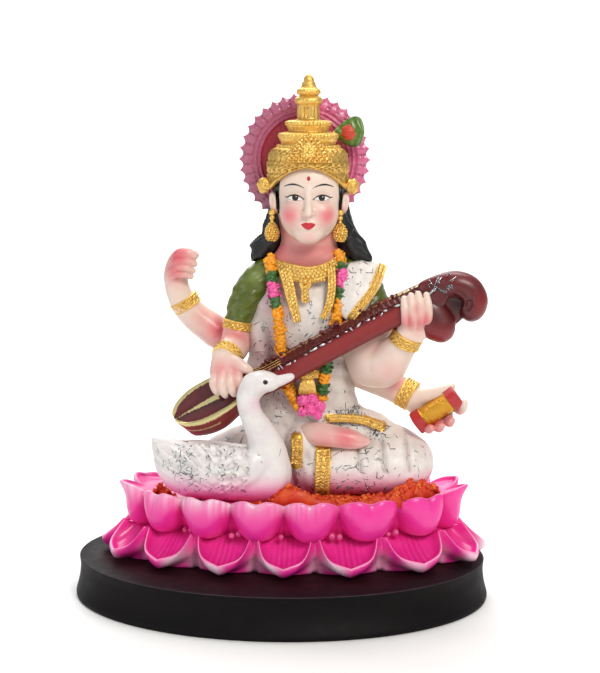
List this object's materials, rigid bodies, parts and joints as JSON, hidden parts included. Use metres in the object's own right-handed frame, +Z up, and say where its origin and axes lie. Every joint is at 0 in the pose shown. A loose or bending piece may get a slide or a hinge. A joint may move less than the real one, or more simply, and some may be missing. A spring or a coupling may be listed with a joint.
{
  "type": "saraswati figure",
  "caption": "Painted resin figure of the goddess Saraswati seated on a lotus with a veena, a book, a swan and a toothed halo, on an oval plinth.",
  "frame": {"origin": "centre of the plinth's underside", "axes": "+Z up, the goddess faces -Y, her left hand side and the veena's scroll toward +X"},
  "size_m": [0.1822, 0.1302, 0.2272],
  "materials": {
    "black_lacquer": "satin brown-black lacquer on cast resin",
    "pink_lotus": "airbrushed hot pink over white cast resin, pale at the rims",
    "painted_resin": "off-white cast resin with pink airbrush, gold and painted details",
    "white_swan": "off-white cast resin with pink airbrush and glitter",
    "maroon_veena": "maroon paint with gold and silver trim",
    "pink_halo": "translucent rose-red cast resin"
  },
  "bodies": {
    "root": {"plinth": "black_lacquer", "lotus": "pink_lotus", "figure": "painted_resin", "swan": "white_swan", "veena": "maroon_veena", "halo": "pink_halo"}
  },
  "joints": []
}
